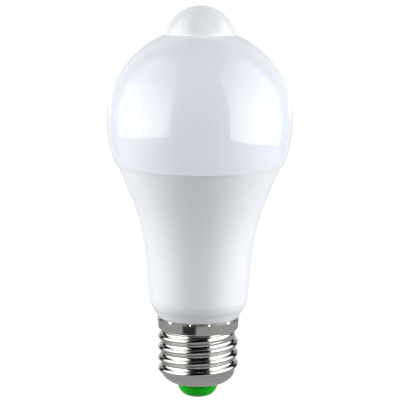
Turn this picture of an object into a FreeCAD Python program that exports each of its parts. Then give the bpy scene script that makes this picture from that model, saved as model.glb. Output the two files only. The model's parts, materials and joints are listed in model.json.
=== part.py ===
import FreeCAD, Part
import math
import operator
import os
from types import SimpleNamespace

import Sketcher
from FreeCAD import Placement, Rotation, Vector

# LED bulb with a motion sensor, standing on its centre contact.
# The origin is on the bulb's axis at the contact's tip, +Z runs up the axis, and -Y is the front.

driving = {
    # Fits
    "slip_gap": 0.1,
    "board_gap": 0.25,
    "seat_gap": 0.02,
    "ledge_gap": 0.14,
    "lip_gap": 0.3,
    # Screw cap, a rolled sheet with the 27 mm round thread
    "cap_height": 27.0,
    "thread_pitch": 3.629,
    "thread_radius": 13.15,
    "thread_depth": 1.05,
    "cap_sheet": 0.3,
    "first_crest": 9.4,
    "thread_turns": 3.2,
    "fade_turns": 0.3,
    "collar_height": 4.6,
    "collar_blend": 1.1,
    "lip_flare": 0.2,
    "bowl_top": 8.8,
    "bowl_depth": 5.4,
    "mouth_radius": 6.6,
    "dent_count": 12,
    "dent_turn": 17.0,
    "dent_radius": 1.1,
    "dent_depth": 0.28,
    "dent_below_lip": 0.7,
    # Insulator and centre contact
    "insulator_foot_radius": 4.3,
    "insulator_foot_height": 0.6,
    "insulator_bulge": 4.2,
    "insulator_thick": 2.2,
    "seat_share": 0.78,
    "contact_radius": 4.0,
    "contact_flat_radius": 1.7,
    "contact_bend": 7.6,
    "contact_sheet": 0.45,
    "stem_radius": 1.3,
    "stem_height": 4.2,
    # Housing
    "shoulder_radius": 13.35,
    "corner_run": 1.7,
    "corner_rise": 2.4,
    "corner_radius": 4.2,
    "neck_run": 1.45,
    "neck_rise": 3.4,
    "neck_taper": 0.5,
    "waist_rise": 8.9,
    "flare_rise": 22.5,
    "flare_bend": 72.0,
    "mouth_run": 5.2,
    "mouth_rise": 11.5,
    "housing_wall": 1.6,
    "spigot_length": 12.5,
    "spigot_wall": 1.5,
    "neutral_slot_width": 1.7,
    "neutral_slot_height": 5.0,
    "rail_depth": 1.3,
    # Globe
    "globe_radius": 30.0,
    "globe_drop": 15.6,
    "globe_tuck": 2.3,
    "globe_wall": 1.5,
    "seam_step": 0.7,
    "skirt_inset": 4.3,
    "skirt_wall": 1.4,
    "skirt_length": 4.8,
    "snap_bead": 0.25,
    "snap_height": 2.0,
    # Sensor lens
    "lens_radius": 11.6,
    "lens_foot_radius": 11.3,
    "lens_wall": 0.7,
    "lens_neck_wall": 0.8,
    "lens_neck_length": 3.6,
    "lens_hook": 0.3,
    "lens_facets": 8,
    "facet_low_share": 0.42,
    "facet_middle_share": 0.75,
    "facet_high_share": 0.95,
    # Heat sink cup and LED board
    "cup_sheet": 1.0,
    "cup_plate": 1.2,
    "shelf_width": 2.4,
    "shelf_thick": 1.3,
    "led_board_thick": 1.2,
    "wiring_hole_radius": 5.2,
    "led_long": 3.5,
    "led_wide": 2.8,
    "led_tall": 0.8,
    "led_rim": 0.4,
    "led_dish": 0.4,
    "lead_hole_radius": 0.9,
    "lead_hole_gap": 2.0,
    # Sensor post and its three screws
    "post_foot_radius": 11.0,
    "post_foot_thick": 1.6,
    "post_tube_radius": 6.9,
    "post_tube_wall": 1.1,
    "holder_radius": 10.2,
    "holder_wall": 0.9,
    "holder_depth": 3.9,
    "holder_floor": 1.2,
    "screw_place": 9.1,
    "screw_radius": 1.1,
    "screw_length": 6.5,
    "screw_head_radius": 1.8,
    "screw_head_height": 1.2,
    "screw_recess": 0.7,
    "screw_recess_wide": 1.2,
    # Sensor board and what it carries
    "sensor_board_thick": 1.2,
    "header_radius": 4.6,
    "header_thick": 0.7,
    "can_radius": 4.1,
    "can_height": 3.6,
    "can_sheet": 0.3,
    "window_long": 4.4,
    "window_wide": 3.4,
    "window_thick": 0.5,
    "window_lap": 0.45,
    "light_sensor_radius": 1.5,
    "light_sensor_height": 2.6,
    "small_capacitor_radius": 1.8,
    "small_capacitor_height": 2.4,
    "sensor_part_place": 6.8,
    "chip_long": 4.9,
    "chip_wide": 3.9,
    "chip_thick": 1.5,
    # Driver board and what it carries
    "driver_board_thick": 1.0,
    "driver_board_back": 3.5,
    "parts_rise": 3.0,
    "part_gap": 0.5,
    "chip_edge": 0.3,
    "driver_board_half": 12.6,
    "driver_board_rise": 29.0,
    "tongue_half": 8.6,
    "tongue_length": 11.5,
    "bulk_radius": 5.0,
    "bulk_height": 16.0,
    "output_radius": 4.0,
    "output_height": 12.0,
    "vent_ring": 0.5,
    "core_radius": 4.4,
    "core_height": 7.6,
    "core_flange": 1.2,
    "core_neck_radius": 2.2,
    "coil_radius": 3.9,
    "film_long": 9.5,
    "film_deep": 4.6,
    "film_tall": 7.0,
    "varistor_radius": 3.6,
    "varistor_flat": 2.9,
    "varistor_thick": 3.2,
    "fuse_radius": 1.6,
    "fuse_length": 8.0,
    "fuse_cap": 1.2,
    "fuse_step": 0.25,
    "bridge_long": 4.7,
    "bridge_wide": 3.9,
    "bridge_thick": 2.5,
    # Leads
    "sensor_lead_radius": 0.5,
    "bare_lead_radius": 0.4,
    "lead_pitch": 2.5,
    "lead_tab": 2.0,
    "lead_rise": 2.0,
    "lead_drop": 3.0,
    "lead_end": 0.4,
}


class Size:
    # A number together with the formula that works it out from the sheet.
    def __init__(self, value, formula):
        self.value = value
        self.formula = formula

    def __add__(self, other):
        return combined(self, "+", other)

    def __sub__(self, other):
        return combined(self, "-", other)

    def __mul__(self, other):
        return combined(self, "*", other)

    def __truediv__(self, other):
        return combined(self, "/", other)

    def __radd__(self, other):
        return combined(other, "+", self)

    def __rsub__(self, other):
        return combined(other, "-", self)

    def __rmul__(self, other):
        return combined(other, "*", self)

    def __neg__(self):
        return combined(0, "-", self)


signs = {"+": operator.add, "-": operator.sub, "*": operator.mul, "/": operator.truediv}


def sized(value):
    return value if isinstance(value, Size) else Size(float(value), str(value))


def combined(one, sign, other):
    one, other = sized(one), sized(other)
    return Size(signs[sign](one.value, other.value), f"({one.formula} {sign} {other.formula})")


def square_root(size):
    return Size(math.sqrt(size.value), f"sqrt({size.formula})")


def beside(radius, away):
    # How far a circle's edge lies from its middle line, at a distance along that line.
    return square_root(radius * radius - away * away)


doc = FreeCAD.newDocument("sensor_bulb")
sheet = doc.addObject("Spreadsheet::Sheet", "sizes")
for row, (alias, number) in enumerate(driving.items(), start=1):
    sheet.set(f"A{row}", alias)
    sheet.set(f"B{row}", str(number))
    sheet.setAlias(f"B{row}", alias)
doc.recompute()
d = SimpleNamespace(**{a: Size(float(sheet.get(a)), f"sizes.{a}") for a in driving})

nodes = []


def body_named(name):
    body = doc.addObject("PartDesign::Body", name)
    body.Label = name
    nodes.append(body)
    return body


def feature_named(name, shape):
    feature = doc.addObject("Part::Feature", name)
    feature.Label = name
    feature.Shape = shape
    nodes.append(feature)


def place(piece, x=0, y=0, z=0, turn=None):
    # Puts a piece at a point worked out from the sheet, with an optional fixed turn.
    spot = [sized(v) for v in (x, y, z)]
    piece.Placement = Placement(Vector(*[v.value for v in spot]), turn or Rotation())
    for axis, v in zip("xyz", spot):
        piece.setExpression(f"Placement.Base.{axis}", v.formula)


def sketch_on(body, role, away=None):
    # A sketch on one of the body's own planes, or parallel to it at a distance along its normal.
    plane = next(f for f in body.Origin.OriginFeatures if f.Role == role)
    sketch = body.newObject("Sketcher::SketchObject", "outline")
    sketch.AttachmentSupport = [(plane, "")]
    sketch.MapMode = "FlatFace"
    if away is not None:
        away = sized(away)
        sketch.AttachmentOffset = Placement(Vector(0, 0, away.value), Rotation())
        sketch.setExpression("AttachmentOffset.Base.z", away.formula)
    return sketch


def bind(sketch, kind, where, size):
    index = sketch.addConstraint(Sketcher.Constraint(kind, *where, size.value))
    sketch.setExpression(f"Constraints[{index}]", size.formula)


def pin_point(sketch, edge, end, x, y):
    # Ties a point of the sketch to its two distances from the origin.
    x, y = sized(x), sized(y)
    if x.formula == "0":
        sketch.addConstraint(Sketcher.Constraint("PointOnObject", edge, end, -2))
    else:
        bind(sketch, "DistanceX", (-1, 1, edge, end), x)
    if y.formula == "0":
        sketch.addConstraint(Sketcher.Constraint("PointOnObject", edge, end, -1))
    else:
        bind(sketch, "DistanceY", (-1, 1, edge, end), y)


def left_of(radius):
    return ("left", radius)


def right_of(radius):
    return ("right", radius)


def arc_between(start, end, side, radius):
    # The short arc from start to end whose centre lies on the given side of the way there.
    half = (end - start) * 0.5
    reach = math.sqrt(max(radius**2 - half.Length**2, 0))
    across = Vector(-half.y, half.x, 0).normalize()
    centre = start + half + across * (reach if side == "left" else -reach)
    first, last = (start, end) if side == "left" else (end, start)
    angles = [math.atan2(p.y - centre.y, p.x - centre.x) for p in (first, last)]
    return Part.ArcOfCircle(Part.Circle(centre, Vector(0, 0, 1), radius), *angles)


def draw(sketch, corners):
    # A closed outline through the corners; a bend after a corner makes the edge that follows an arc.
    spots = []
    bends = []
    for item in corners:
        if item[0] in ("left", "right"):
            bends[-1] = item
        else:
            spots.append(item)
            bends.append(None)
    flat = [Vector(sized(x).value, sized(y).value, 0) for x, y in spots]
    ends = []
    for number, bend in enumerate(bends):
        start, end = flat[number], flat[(number + 1) % len(flat)]
        if bend is None:
            edge = sketch.addGeometry(Part.LineSegment(start, end))
            ends.append((edge, 1, 2))
        else:
            side, radius = bend
            edge = sketch.addGeometry(arc_between(start, end, side, sized(radius).value))
            ends.append((edge, 1, 2) if side == "left" else (edge, 2, 1))
            bind(sketch, "Radius", (edge,), sized(radius))
    # Each edge starts where the one before it finishes
    for number, (edge, start, _) in enumerate(ends):
        before, _, finish = ends[number - 1]
        sketch.addConstraint(Sketcher.Constraint("Coincident", before, finish, edge, start))
        pin_point(sketch, edge, start, *spots[number])
    return sketch


def draw_circle(sketch, x, y, radius):
    radius = sized(radius)
    middle = Vector(sized(x).value, sized(y).value, 0)
    edge = sketch.addGeometry(Part.Circle(middle, Vector(0, 0, 1), radius.value))
    bind(sketch, "Radius", (edge,), radius)
    pin_point(sketch, edge, 3, x, y)
    return sketch


def draw_box(sketch, x, y, long, wide):
    # A rectangle about its own middle.
    left, right = x - long / 2, x + long / 2
    low, high = y - wide / 2, y + wide / 2
    return draw(sketch, [(left, low), (right, low), (right, high), (left, high)])


def revolve(body, corners, cut=False):
    sketch = draw(sketch_on(body, "XZ_Plane"), corners)
    kind = "PartDesign::Groove" if cut else "PartDesign::Revolution"
    feature = body.newObject(kind, "turned")
    feature.Profile = sketch
    feature.ReferenceAxis = (sketch, ["V_Axis"])
    feature.Angle = 360
    return feature


def pad(body, sketch, length, cut=False, down=False):
    # A prism on the sketch, or a pocket from it, along its normal or, with down, against it.
    length = sized(length)
    feature = body.newObject("PartDesign::Pocket" if cut else "PartDesign::Pad", "prism")
    feature.Profile = sketch
    feature.Length = length.value
    feature.setExpression("Length", length.formula)
    # A pocket runs against the normal by itself.
    feature.Reversed = (not down) if cut else down
    return feature


def ring_of(body, feature, sketch, count):
    # Copies of a feature at even turns about the sketch's normal.
    pattern = body.newObject("PartDesign::PolarPattern", "ring")
    pattern.Originals = [feature]
    pattern.Axis = (sketch, ["N_Axis"])
    pattern.Angle = 360
    pattern.Occurrences = int(count.value if isinstance(count, Size) else count)
    if isinstance(count, Size):
        pattern.setExpression("Occurrences", count.formula)
    body.Tip = pattern
    return pattern


# Heights up the axis
shoulder_height = d.cap_height + d.lip_gap
corner_height = shoulder_height + d.corner_rise
neck_height = corner_height + d.neck_rise
waist_height = neck_height + d.waist_rise
flare_height = waist_height + d.flare_rise
seam_height = flare_height + d.mouth_rise
globe_height = seam_height + d.globe_drop

# Radii of the housing's outside and of the seam
corner_radius_at = d.shoulder_radius + d.corner_run
neck_radius = corner_radius_at + d.neck_run
waist_radius = neck_radius + d.neck_taper
seam_radius = d.globe_radius - d.globe_tuck
rim_radius = seam_radius - d.seam_step
flare_radius = rim_radius - d.mouth_run

# Rolled screw cap
collar_low = d.cap_height - d.collar_height
thread_root = d.thread_radius - d.thread_depth
cap_inside = thread_root - d.cap_sheet


def eased(share):
    # A rise from 0 to 1 that starts and ends level.
    share = min(max(share, 0.0), 1.0)
    return share * share * (3 - 2 * share)


def thread_form(away):
    # The round thread's height as a share of its depth, away from a crest by a share of the pitch.
    # Crest and root are arcs of one radius that meet at a tangent.
    pitch, depth = d.thread_pitch.value, d.thread_depth.value
    along = abs(away) * pitch
    arc = ((pitch / 2) ** 2 + depth**2) / (4 * depth)
    if along <= pitch / 4:
        return (depth - arc + math.sqrt(arc**2 - along**2)) / depth
    return (arc - math.sqrt(arc**2 - (pitch / 2 - along) ** 2)) / depth


def cap_point(turn, along, inset):
    # A point of the cap's skin: the lip is at 0 along, the mouth at 1, and inset goes into the sheet.
    straight = d.cap_height.value - d.bowl_top.value
    bowl_turn = math.acos(d.mouth_radius.value / thread_root.value)
    bowl_arc = bowl_turn * (thread_root.value + d.bowl_depth.value) / 2
    run = along * (straight + bowl_arc)
    if run <= straight:
        base_radius, base_height = thread_root.value, d.cap_height.value - run
        out, up = 1.0, 0.0
        level = base_height
    else:
        angle = (run - straight) / bowl_arc * bowl_turn
        base_radius = thread_root.value * math.cos(angle)
        base_height = d.bowl_top.value - d.bowl_depth.value * math.sin(angle)
        out, up = d.bowl_depth.value * math.cos(angle), -thread_root.value * math.sin(angle)
        out, up = out / math.hypot(out, up), up / math.hypot(out, up)
        level = d.bowl_top.value - (run - straight)
    # The thread's own turn, counted from its lowest full crest on the left side
    crest_start = d.first_crest.value - d.thread_pitch.value / 2
    turns_up = (level - crest_start) / d.thread_pitch.value
    crest_turns = round(turns_up - turn) + turn
    done = crest_turns - 0.5
    fade_in = eased(done / d.fade_turns.value + 1)
    fade_out = eased((d.thread_turns.value - done) / d.fade_turns.value + 1)
    ridge = thread_form(turns_up - crest_turns) * fade_in * fade_out
    # The plain collar above the thread, a little wider at its lip
    above = level - collar_low.value
    collar = eased(above / d.collar_blend.value)
    flare = d.lip_flare.value * eased(above / d.collar_height.value)
    swell = d.thread_depth.value * (1 - (1 - ridge) * (1 - collar)) + flare - inset
    return base_radius + swell * out, base_height + swell * up


# The net that steers the cap's skin has this many spokes, and this many rows to a turn of the thread
net_spokes = 24
net_rows = 7
net_degree = 3


def cap_skin(inset):
    # One smooth surface round the cap, closed about the axis, steered by a net of points.
    around = net_spokes
    down = net_degree + 1 + math.ceil(net_rows * d.cap_height.value / d.thread_pitch.value)
    # A cubic surface's net lies outside the round that it steers by this share
    outward = 3 / (2 + math.cos(2 * math.pi / around))
    net = []
    for step in range(down):
        row = []
        for spoke in range(around):
            turn = spoke / around
            radius, height = cap_point(turn, step / (down - 1), inset)
            angle = 2 * math.pi * turn
            reach = radius * outward
            row.append(Vector(reach * math.cos(angle), reach * math.sin(angle), height))
        net.append(row)
    surface = Part.BSplineSurface()
    end_rows = net_degree + 1
    rows = [end_rows] + [1] * (down - end_rows) + [end_rows]
    spokes = [1] * (around + 1)
    row_marks = [float(n) for n in range(len(rows))]
    spoke_marks = [float(n) for n in range(len(spokes))]
    surface.buildFromPolesMultsKnots(
        net, rows, spokes, row_marks, spoke_marks, False, True, net_degree, net_degree
    )
    return surface.toShape()


def end_circles(skin):
    return sorted((e for e in skin.Edges if e.isClosed()), key=lambda e: e.CenterOfMass.z)


# Edges of the cap's skins that lie this close are sewn together
sewing_reach = 1e-4


def make_screw_shell():
    outside, inside = cap_skin(0), cap_skin(d.cap_sheet.value)
    ends = zip(end_circles(outside), end_circles(inside))
    walls = [Part.makeRuledSurface(outer, inner) for outer, inner in ends]
    skins = Part.makeCompound([outside, inside] + walls)
    skins.sewShape(sewing_reach)
    sheet_metal = Part.makeSolid(skins.Shells[0])
    if sheet_metal.Volume < 0:
        sheet_metal.reverse()
    # Punch marks below the lip hold the cap on the housing's spigot
    count = int(d.dent_count.value)
    height = d.cap_height.value - d.dent_below_lip.value
    face, _ = cap_point(0, d.dent_below_lip.value / d.cap_height.value, 0)
    reach = face + d.dent_radius.value - d.dent_depth.value
    dents = []
    for number in range(count):
        angle = math.radians(d.dent_turn.value - 90 + 360 * number / count)
        centre = Vector(reach * math.cos(angle), reach * math.sin(angle), height)
        dents.append(Part.makeSphere(d.dent_radius.value, centre))
    feature_named("screw_shell", sheet_metal.cut(dents))


make_screw_shell()

# Insulator
# The bowl's inside, one slip gap clear of the cap's sheet
bowl_gap = d.cap_sheet + d.slip_gap
mouth_share = d.mouth_radius / thread_root
mouth_height = d.bowl_top - d.bowl_depth * square_root(1 - mouth_share * mouth_share)
seat_radius = thread_root * d.seat_share - bowl_gap
seat_height = d.bowl_top - d.bowl_depth * square_root(1 - d.seat_share * d.seat_share) + bowl_gap
lip_radius = d.mouth_radius - bowl_gap
lip_height = mouth_height + bowl_gap
insulator_top = seat_height + d.insulator_thick
stem_hole = d.stem_radius + d.slip_gap
contact_seat = d.insulator_foot_height

insulator = body_named("base_insulator")
revolve(
    insulator,
    [
        (stem_hole, contact_seat),
        (d.insulator_foot_radius, contact_seat),
        left_of(d.insulator_bulge),
        (d.mouth_radius, mouth_height - d.slip_gap),
        (lip_radius, mouth_height - d.slip_gap),
        (lip_radius, lip_height),
        (seat_radius, seat_height),
        (seat_radius, insulator_top),
        (stem_hole, insulator_top),
    ],
)

# Centre contact, a domed disc with a hollow stem that the lead is soldered into
contact = body_named("centre_contact")
contact_top = contact_seat - d.seat_gap
stem_bore = d.bare_lead_radius + d.slip_gap
revolve(
    contact,
    [
        (0, 0),
        (d.contact_flat_radius, 0),
        left_of(d.contact_bend),
        (d.contact_radius, contact_top - d.slip_gap),
        (d.contact_radius, contact_top),
        (d.stem_radius, contact_top),
        (d.stem_radius, contact_seat + d.stem_height),
        (stem_bore, contact_seat + d.stem_height),
        (stem_bore, d.contact_sheet),
        (0, d.contact_sheet),
    ],
)

# Housing
skirt_radius = seam_radius - d.skirt_inset
skirt_inside = skirt_radius - d.skirt_wall
shelf_height = seam_height - d.skirt_length
shelf_radius = skirt_inside - d.shelf_width / 2
socket_radius = skirt_radius + d.slip_gap
wall = d.housing_wall
spigot_radius = d.thread_radius - d.cap_sheet - d.slip_gap
spigot_low_radius = cap_inside - d.slip_gap
spigot_bore = spigot_low_radius - d.spigot_wall
step_height = collar_low + d.collar_blend
spigot_end = shoulder_height - d.spigot_length
floor_height = corner_height + d.neck_rise / 2
snap_middle = seam_height - d.snap_height
bead_half = d.snap_bead * 2

housing = body_named("housing")
revolve(
    housing,
    [
        (spigot_radius, shoulder_height),
        (d.shoulder_radius, shoulder_height),
        (corner_radius_at, corner_height),
        left_of(d.corner_radius),
        (neck_radius, neck_height),
        (waist_radius, waist_height),
        right_of(d.flare_bend),
        (flare_radius, flare_height),
        (rim_radius, seam_height),
        (socket_radius, seam_height),
        (socket_radius, snap_middle + bead_half),
        (socket_radius + d.snap_bead, snap_middle),
        (socket_radius, snap_middle - bead_half),
        (socket_radius, shelf_height),
        (shelf_radius, shelf_height),
        (shelf_radius, shelf_height - d.shelf_thick),
        (flare_radius - wall, flare_height),
        left_of(d.flare_bend + wall),
        (waist_radius - wall, waist_height),
        (neck_radius - wall, neck_height),
        (neck_radius - wall, floor_height),
        (spigot_bore, floor_height),
        (spigot_bore, spigot_end),
        (spigot_low_radius, spigot_end),
        (spigot_low_radius, step_height - d.thread_depth),
        (spigot_radius, step_height),
    ],
)
# Slots in the floor that hold the driver board's shoulders
rail_middle = d.driver_board_back - d.driver_board_thick / 2
rail_width = d.driver_board_thick + d.slip_gap * 2
rail_sketch = sketch_on(housing, "XY_Plane", floor_height)
draw_box(rail_sketch, 0, -rail_middle, d.driver_board_half * 2 + d.board_gap * 2, rail_width)
pad(housing, rail_sketch, d.rail_depth, cut=True, down=True)
# Notch in the spigot's end where the neutral lead turns outward
slot_sketch = sketch_on(housing, "XY_Plane", spigot_end)
slot_reach = spigot_low_radius + d.slip_gap
draw_box(slot_sketch, slot_reach - d.spigot_wall, 0, d.spigot_wall * 2, d.neutral_slot_width)
pad(housing, slot_sketch, d.neutral_slot_height, cut=True)

# Globe
lower_bend = (d.globe_drop * d.globe_drop + d.globe_tuck * d.globe_tuck) / (d.globe_tuck * 2)
inner_bend = lower_bend - d.globe_wall
inner_radius = d.globe_radius - d.globe_wall
lens_neck_radius = d.lens_foot_radius - d.lens_neck_wall
hole_radius = lens_neck_radius + d.slip_gap
hole_top = globe_height + beside(d.globe_radius, hole_radius)
hole_bottom = globe_height + beside(inner_radius, hole_radius)
ledge_height = seam_height + d.globe_wall
ledge_drop = globe_height - ledge_height
ledge_radius = inner_radius - inner_bend + beside(inner_bend, ledge_drop)

globe = body_named("diffuser_globe")
revolve(
    globe,
    [
        (hole_radius, hole_top),
        (hole_radius, hole_bottom),
        right_of(inner_radius),
        (inner_radius, globe_height),
        right_of(inner_bend),
        (ledge_radius, ledge_height),
        (skirt_inside, ledge_height),
        (skirt_inside, shelf_height),
        (skirt_radius, shelf_height),
        (skirt_radius, snap_middle - bead_half),
        (skirt_radius + d.snap_bead, snap_middle),
        (skirt_radius, snap_middle + bead_half),
        (skirt_radius, seam_height),
        (seam_radius, seam_height),
        left_of(lower_bend),
        (d.globe_radius, globe_height),
        left_of(d.globe_radius),
    ],
)

# Sensor lens, a thin dome with flat-faced lenslets inside and a neck that snaps into the globe
lens_foot_height = globe_height + beside(d.globe_radius, d.lens_foot_radius)
lens_middle = lens_foot_height + d.ledge_gap - beside(d.lens_radius, d.lens_foot_radius)
lens_top = lens_middle + d.lens_radius
neck_inside = lens_neck_radius - d.lens_neck_wall
neck_end = hole_top - d.lens_neck_length
hook_height = hole_bottom - d.slip_gap
dome_inside = d.lens_radius - d.lens_wall
facet_foot = hole_top + d.ledge_gap + d.lens_wall

lens = body_named("sensor_lens")
revolve(
    lens,
    [
        (0, facet_foot),
        (neck_inside, facet_foot),
        (neck_inside, neck_end),
        (lens_neck_radius, neck_end),
        (lens_neck_radius + d.lens_hook, hook_height - d.lens_hook),
        (lens_neck_radius, hook_height),
        (lens_neck_radius, hole_top + d.ledge_gap),
        (d.lens_foot_radius, lens_foot_height + d.ledge_gap),
        left_of(d.lens_radius),
        (0, lens_top),
    ],
)


# Each ring of facet corners lies on the dome's inner sphere, at a share of the way up it
facet_rise = lens_middle + dome_inside - facet_foot
facet_count = int(d.lens_facets.value)
facet_angles = [2 * math.pi * (n + 0.5) / facet_count for n in range(facet_count)]
facet_sketches = []
for share in (0, d.facet_low_share, d.facet_middle_share, d.facet_high_share):
    ring_height = facet_foot + facet_rise * share
    ring_radius = beside(dome_inside, ring_height - lens_middle)
    sketch = sketch_on(lens, "XY_Plane", ring_height)
    draw(sketch, [(ring_radius * math.cos(a), ring_radius * math.sin(a)) for a in facet_angles])
    facet_sketches.append(sketch)
hollow = lens.newObject("PartDesign::SubtractiveLoft", "hollow")
hollow.Profile = facet_sketches[0]
hollow.Sections = facet_sketches[1:]
hollow.Ruled = True

# Heat sink cup, drawn sheet that carries the LED board on its flat end
cup_gap = d.slip_gap * 2
cup_outset = wall + cup_gap
cup_inset = cup_outset + d.cup_sheet
plate_top = shelf_height + d.cup_plate
cup_foot = neck_height + d.slip_gap
cup = body_named("heat_sink_cup")
revolve(
    cup,
    [
        (d.wiring_hole_radius, shelf_height),
        (shelf_radius - cup_gap - d.cup_sheet, shelf_height),
        (flare_radius - cup_inset, flare_height),
        left_of(d.flare_bend + cup_inset),
        (waist_radius - cup_inset, waist_height),
        (neck_radius - cup_inset, cup_foot),
        (neck_radius - cup_outset, cup_foot),
        (waist_radius - cup_outset, waist_height),
        right_of(d.flare_bend + cup_outset),
        (flare_radius - cup_outset, flare_height),
        (shelf_radius - cup_gap, shelf_height),
        (skirt_inside - cup_gap, shelf_height),
        (skirt_inside - cup_gap, plate_top),
        (d.wiring_hole_radius, plate_top),
    ],
)
screw_hole = d.screw_radius + d.slip_gap


screw_count = 3
lead_hole_count = 2
lead_hole_place = d.post_foot_radius + d.lead_hole_gap


def drill_plate(body, height, depth):
    # The screw holes and the lead holes down through a plate.
    screw_sketch = draw_circle(sketch_on(body, "XY_Plane", height), d.screw_place, 0, screw_hole)
    holes = pad(body, screw_sketch, depth, cut=True, down=True)
    ring_of(body, holes, screw_sketch, screw_count)
    lead_sketch = draw_circle(sketch_on(body, "XY_Plane", height), 0, lead_hole_place, d.lead_hole_radius)
    holes = pad(body, lead_sketch, depth, cut=True, down=True)
    ring_of(body, holes, lead_sketch, lead_hole_count)


drill_plate(cup, plate_top, d.cup_plate)

# LED board
board_top = plate_top + d.led_board_thick
led_board = body_named("led_board")
board_sketch = sketch_on(led_board, "XY_Plane", plate_top)
draw_circle(board_sketch, 0, 0, skirt_inside - d.board_gap * 2)
draw_circle(board_sketch, 0, 0, d.wiring_hole_radius)
pad(led_board, board_sketch, d.led_board_thick)
drill_plate(led_board, board_top, d.led_board_thick)

# LEDs, each a small tub whose open dish faces up, midway between the post's foot and the globe's skirt
led_count = 12
led_ring_radius = (d.post_foot_radius + skirt_inside) / 2
for number in range(led_count):
    led = body_named(f"led_{number + 1:02d}")
    base_sketch = draw_box(sketch_on(led, "XY_Plane"), 0, 0, d.led_wide, d.led_long)
    pad(led, base_sketch, d.led_tall)
    dish_sketch = sketch_on(led, "XY_Plane", d.led_tall)
    draw_box(dish_sketch, 0, 0, d.led_wide - d.led_rim * 2, d.led_long - d.led_rim * 2)
    pad(led, dish_sketch, d.led_dish, cut=True, down=True)
    angle = 360 * (number + 0.5) / led_count
    across, along = math.cos(math.radians(angle)), math.sin(math.radians(angle))
    turn = Rotation(Vector(0, 0, 1), angle)
    place(led, led_ring_radius * across, led_ring_radius * along, board_top, turn)

# Sensor post, from the LED board up to the lens
holder_top = neck_end - d.slip_gap
holder_inside = d.holder_radius - d.holder_wall
holder_ledge = holder_top - d.holder_depth
tube_inside = d.post_tube_radius - d.post_tube_wall
post = body_named("sensor_post")
revolve(
    post,
    [
        (tube_inside, board_top),
        (d.post_foot_radius, board_top),
        (d.post_foot_radius, board_top + d.post_foot_thick),
        (d.post_tube_radius, board_top + d.post_foot_thick),
        (d.post_tube_radius, holder_ledge - d.holder_floor * 3),
        (d.holder_radius, holder_ledge - d.holder_floor),
        (d.holder_radius, holder_top),
        (holder_inside, holder_top),
        (holder_inside, holder_ledge),
        (tube_inside, holder_ledge),
    ],
)
foot_top = board_top + d.post_foot_thick
post_sketch = draw_circle(sketch_on(post, "XY_Plane", foot_top), d.screw_place, 0, screw_hole)
post_hole = pad(post, post_sketch, d.post_foot_thick, cut=True, down=True)
ring_of(post, post_hole, post_sketch, screw_count)

# Three screws through the post's foot, the LED board and the cup
screws = body_named("board_screws")
screws.AllowCompound = True
shank_sketch = sketch_on(screws, "XY_Plane", foot_top)
draw_circle(shank_sketch, d.screw_place, 0, d.screw_radius)
shank = pad(screws, shank_sketch, d.screw_length, down=True)
head_sketch = sketch_on(screws, "XY_Plane", foot_top)
draw_circle(head_sketch, d.screw_place, 0, d.screw_head_radius)
head = pad(screws, head_sketch, d.screw_head_height)
recess_sketch = sketch_on(screws, "XY_Plane", foot_top + d.screw_head_height)
draw_box(recess_sketch, d.screw_place, 0, d.screw_recess_wide, d.screw_recess_wide)
recess = pad(screws, recess_sketch, d.screw_recess, cut=True, down=True)
screw_ring = ring_of(screws, shank, shank_sketch, screw_count)
screw_ring.Originals = [shank, head, recess]

# Sensor board
sensor_top = holder_ledge + d.sensor_board_thick
sensor_board = body_named("sensor_board")
sensor_sketch = sketch_on(sensor_board, "XY_Plane", holder_ledge)
draw_circle(sensor_sketch, 0, 0, holder_inside - d.slip_gap)
pad(sensor_board, sensor_sketch, d.sensor_board_thick)

# Infrared sensor: a header plate, a can with a square window hole, and the window in it
header = body_named("sensor_header")
header_sketch = draw_circle(sketch_on(header, "XY_Plane"), 0, 0, d.header_radius)
pad(header, header_sketch, d.header_thick)
place(header, 0, 0, sensor_top)

can = body_named("sensor_can")
can_inside = d.can_radius - d.can_sheet
revolve(
    can,
    [
        (can_inside, 0),
        (d.can_radius, 0),
        (d.can_radius, d.can_height - d.can_sheet),
        left_of(d.can_sheet),
        (can_inside, d.can_height),
        (0, d.can_height),
        (0, d.can_height - d.can_sheet),
        (can_inside, d.can_height - d.can_sheet),
    ],
)
window_sketch = sketch_on(can, "XY_Plane", d.can_height)
draw_box(window_sketch, 0, 0, d.window_long, d.window_wide)
pad(can, window_sketch, d.can_sheet, cut=True, down=True)
place(can, 0, 0, sensor_top + d.header_thick)

window = body_named("sensor_window")
pane = d.can_height - d.can_sheet
frame_sketch = sketch_on(window, "XY_Plane", pane - d.window_thick)
draw_box(frame_sketch, 0, 0, d.window_long + d.window_lap * 2, d.window_wide + d.window_lap * 2)
pad(window, frame_sketch, d.window_thick)
pane_sketch = sketch_on(window, "XY_Plane", pane)
draw_box(pane_sketch, 0, 0, d.window_long - d.slip_gap, d.window_wide - d.slip_gap)
pad(window, pane_sketch, d.can_sheet / 2)
place(window, 0, 0, sensor_top + d.header_thick)

# Light sensor, a small clear dome beside the can
light_sensor = body_named("light_sensor")
straight_part = d.light_sensor_height - d.light_sensor_radius
revolve(
    light_sensor,
    [
        (0, 0),
        (d.light_sensor_radius, 0),
        (d.light_sensor_radius, straight_part),
        left_of(d.light_sensor_radius),
        (0, d.light_sensor_height),
    ],
)
place(light_sensor, d.sensor_part_place, 0, sensor_top)


def make_electrolytic(name, radius, height):
    # An aluminium can with a rolled groove near its foot and a shallow dished top.
    capacitor = body_named(name)
    groove = d.vent_ring
    revolve(
        capacitor,
        [
            (0, 0),
            (radius, 0),
            (radius, groove * 2),
            right_of(groove),
            (radius, groove * 3),
            (radius, height - groove),
            left_of(groove),
            (radius - groove, height),
            (radius - groove * 2, height - groove / 2),
            (0, height - groove / 2),
        ],
    )
    return capacitor


sensor_capacitor = make_electrolytic("sensor_capacitor", d.small_capacitor_radius, d.small_capacitor_height)
place(sensor_capacitor, -d.sensor_part_place, 0, sensor_top)


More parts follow.
